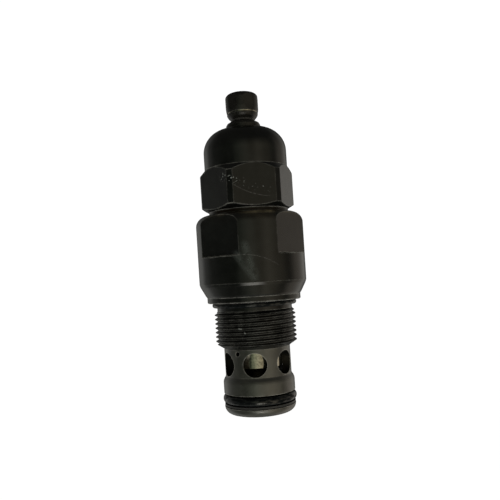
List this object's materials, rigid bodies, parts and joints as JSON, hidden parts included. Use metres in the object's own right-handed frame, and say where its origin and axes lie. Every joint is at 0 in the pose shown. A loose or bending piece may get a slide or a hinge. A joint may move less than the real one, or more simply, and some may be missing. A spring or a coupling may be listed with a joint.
{
  "type": "cartridge relief valve",
  "caption": "Adjustable pilot-operated hydraulic relief valve cartridge with ported sleeve, cavity thread, flatted body, hexagonal domed bonnet and capped adjusting screw.",
  "frame": {"origin": "on the valve axis in the plane of the collar's underside, where the valve seats on its cavity", "axes": "+Z along the valve axis towards the adjuster, -Y towards the side with a sleeve port facing it"},
  "size_m": [0.0368, 0.0368, 0.1095],
  "materials": {
    "black_oxide_body": "glossy oiled black oxide steel",
    "phosphate_sleeve": "satin dark phosphate steel",
    "bright_steel": "ground bright steel",
    "dark_steel": "satin blackened steel",
    "spring_steel": "shot-peened spring steel",
    "black_rubber": "black nitrile rubber",
    "seal_plastic": "dark filled polymer",
    "brass_jet": "turned brass",
    "gasket_steel": "plain steel gasket"
  },
  "bodies": {
    "housing": {"valve_body": "black_oxide_body", "sleeve": "phosphate_sleeve", "port_seal_ring": "black_rubber", "nose_o_ring": "black_rubber", "nose_back_up_ring": "seal_plastic", "spring_shim": "bright_steel", "pilot_seat": "bright_steel", "pilot_seat_o_ring": "black_rubber", "pilot_filter": "bright_steel", "bonnet": "black_oxide_body", "bonnet_o_ring": "black_rubber", "bonnet_back_up_ring": "seal_plastic"},
    "main_stage": {"main_poppet": "bright_steel", "poppet_seal_ring": "seal_plastic", "poppet_o_ring": "black_rubber", "orifice_plug": "brass_jet", "orifice_filter": "bright_steel", "main_spring": "spring_steel"},
    "pilot_stage": {"pilot_poppet": "bright_steel", "pilot_spring": "spring_steel"},
    "spring_carrier": {"spring_seat": "dark_steel", "spring_seat_o_ring": "black_rubber", "spring_seat_back_up_ring": "seal_plastic", "thrust_ball": "bright_steel"},
    "adjuster": {"adjusting_screw": "dark_steel"},
    "cap_seal": {"cap_gasket": "gasket_steel"},
    "cap": {"cap_nut": "dark_steel"},
    "nut_washer": {"seal_washer": "dark_steel", "thread_o_ring": "black_rubber"},
    "nut": {"lock_nut": "dark_steel"}
  },
  "joints": [
    {"name": "main_poppet_lift", "type": "slide", "parent": "housing", "child": "main_stage", "axis": [0, 0, 1], "range_m": [0, 0.003], "stiffness_N_per_m": 1500, "springref_m": -0.002, "deforming": ["main_spring"]},
    {"name": "pilot_poppet_lift", "type": "slide", "parent": "housing", "child": "pilot_stage", "axis": [0, 0, 1], "range_m": [0, 0.001], "stiffness_N_per_m": 20000, "springref_m": -0.001, "deforming": ["pilot_spring"]},
    {"name": "spring_seat_travel", "type": "slide", "parent": "housing", "child": "spring_carrier", "axis": [0, 0, 1], "range_m": [0, 0.005], "deforming": ["pilot_spring"]},
    {"name": "adjuster_turn", "type": "hinge", "parent": "spring_carrier", "child": "adjuster", "pos_m": [0, 0, 0.058], "axis": [0, 0, 1], "range_deg": [0, 1800]},
    {"name": "cap_gasket_lift", "type": "slide", "parent": "adjuster", "child": "cap_seal", "axis": [0, 0, 1], "range_m": [0, 0.005]},
    {"name": "cap_nut_turn", "type": "hinge", "parent": "cap_seal", "child": "cap", "pos_m": [0, 0, 0.068], "axis": [0, 0, 1], "range_deg": [0, 1800]},
    {"name": "seal_washer_lift", "type": "slide", "parent": "housing", "child": "nut_washer", "axis": [0, 0, 1], "range_m": [0, 0.00015]},
    {"name": "lock_nut_turn", "type": "hinge", "parent": "nut_washer", "child": "nut", "pos_m": [0, 0, 0.063], "axis": [0, 0, 1], "range_deg": [0, 54]}
  ],
  "couplings": [
    {"joint": "adjuster_turn", "follows": "spring_seat_travel", "rad_per_m": 6283.2},
    {"joint": "cap_nut_turn", "follows": "cap_gasket_lift", "rad_per_m": 6283.2},
    {"joint": "lock_nut_turn", "follows": "seal_washer_lift", "rad_per_m": 6283.2}
  ]
}
